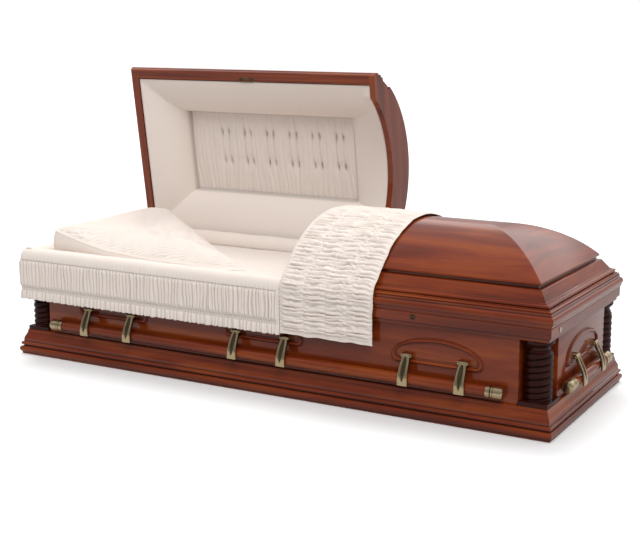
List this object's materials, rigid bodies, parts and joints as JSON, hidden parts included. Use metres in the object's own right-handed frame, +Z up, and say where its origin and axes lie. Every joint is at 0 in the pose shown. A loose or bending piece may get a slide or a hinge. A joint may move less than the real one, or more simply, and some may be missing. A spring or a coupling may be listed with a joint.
{
  "type": "funeral casket",
  "caption": "Half-couch wooden casket: moulded base, rope-twist corner columns, swing-bar handles, vaulted hinged lids with the head lid open, and ivory crepe bedding, skirt and throw.",
  "frame": {"origin": "middle of the underside, on the floor board's middle bearer", "axes": "+X towards the foot end along the length, +Y towards the hinged rear side, +Z up; the front with the throw and skirt is at -Y"},
  "size_m": [2.1644, 0.9726, 1.0735],
  "materials": {
    "cherry": "cherry, high-gloss lacquer",
    "dark_cherry": "dark cherry, high-gloss lacquer",
    "antique_metal": "antique champagne metal, polished on its raised edges",
    "steel": "satin",
    "crepe": "ivory crepe",
    "board": "plain sanded board"
  },
  "bodies": {
    "casket": {"base_moulding_foot": "cherry", "base_moulding_front": "cherry", "base_moulding_head": "cherry", "base_moulding_rear": "cherry", "bed_board": "board", "body_lining": "crepe", "body_panel_foot": "cherry", "body_panel_front": "cherry", "body_panel_head": "cherry", "body_panel_rear": "cherry", "corner_column_front_foot": "dark_cherry", "corner_column_front_head": "dark_cherry", "corner_column_rear_foot": "dark_cherry", "corner_column_rear_head": "dark_cherry", "end_plug": "steel", "floor_board": "board", "foot_hinge_body_leaf": "antique_metal", "head_hinge_body_leaf": "antique_metal", "keyhole_escutcheon": "antique_metal", "mattress": "crepe", "overlay_skirt": "crepe", "pillow": "crepe", "top_rail_foot": "cherry", "top_rail_front": "cherry", "top_rail_head": "cherry", "top_rail_rear": "cherry"},
    "head_lid": {"head_lid_moulding": "cherry", "head_lid_vault": "cherry", "head_lid_header": "cherry", "lock_catch": "antique_metal", "head_hinge_lid_leaf": "antique_metal", "head_lid_lining": "crepe"},
    "foot_lid": {"foot_lid_moulding": "cherry", "foot_lid_vault": "cherry", "foot_lid_header": "cherry", "foot_hinge_lid_leaf": "antique_metal", "foot_lid_lining": "crepe", "throw": "crepe"},
    "handle_front": {"handle_arm_front_1": "antique_metal", "handle_arm_front_2": "antique_metal", "handle_arm_front_3": "antique_metal", "handle_arm_front_4": "antique_metal", "handle_arm_front_5": "antique_metal", "handle_arm_front_6": "antique_metal", "handle_bar_front": "cherry"},
    "handle_rear": {"handle_arm_rear_1": "antique_metal", "handle_arm_rear_2": "antique_metal", "handle_arm_rear_3": "antique_metal", "handle_arm_rear_4": "antique_metal", "handle_arm_rear_5": "antique_metal", "handle_arm_rear_6": "antique_metal", "handle_bar_rear": "cherry"},
    "handle_head": {"handle_arm_head_1": "antique_metal", "handle_arm_head_2": "antique_metal", "handle_bar_head": "cherry"},
    "handle_foot": {"handle_arm_foot_1": "antique_metal", "handle_arm_foot_2": "antique_metal", "handle_bar_foot": "cherry"}
  },
  "joints": [
    {"name": "head_lid_hinge", "type": "hinge", "parent": "casket", "child": "head_lid", "pos_m": [-0.4515, 0.374, 0.335], "axis": [-1, 0, 0], "range_deg": [-82, 0], "deforming": ["overlay_skirt", "body_lining", "pillow"]},
    {"name": "foot_lid_hinge", "type": "hinge", "parent": "casket", "child": "foot_lid", "pos_m": [0.5535, 0.374, 0.335], "axis": [-1, 0, 0], "range_deg": [0, 82]},
    {"name": "front_handle_swing", "type": "hinge", "parent": "casket", "child": "handle_front", "pos_m": [0, -0.355, 0.203], "axis": [-1, 0, 0], "range_deg": [0, 70]},
    {"name": "rear_handle_swing", "type": "hinge", "parent": "casket", "child": "handle_rear", "pos_m": [0, 0.355, 0.203], "axis": [1, 0, 0], "range_deg": [0, 70]},
    {"name": "head_handle_swing", "type": "hinge", "parent": "casket", "child": "handle_head", "pos_m": [-1.047, 0, 0.203], "axis": [0, 1, 0], "range_deg": [0, 70]},
    {"name": "foot_handle_swing", "type": "hinge", "parent": "casket", "child": "handle_foot", "pos_m": [1.047, 0, 0.203], "axis": [0, -1, 0], "range_deg": [0, 70]}
  ]
}
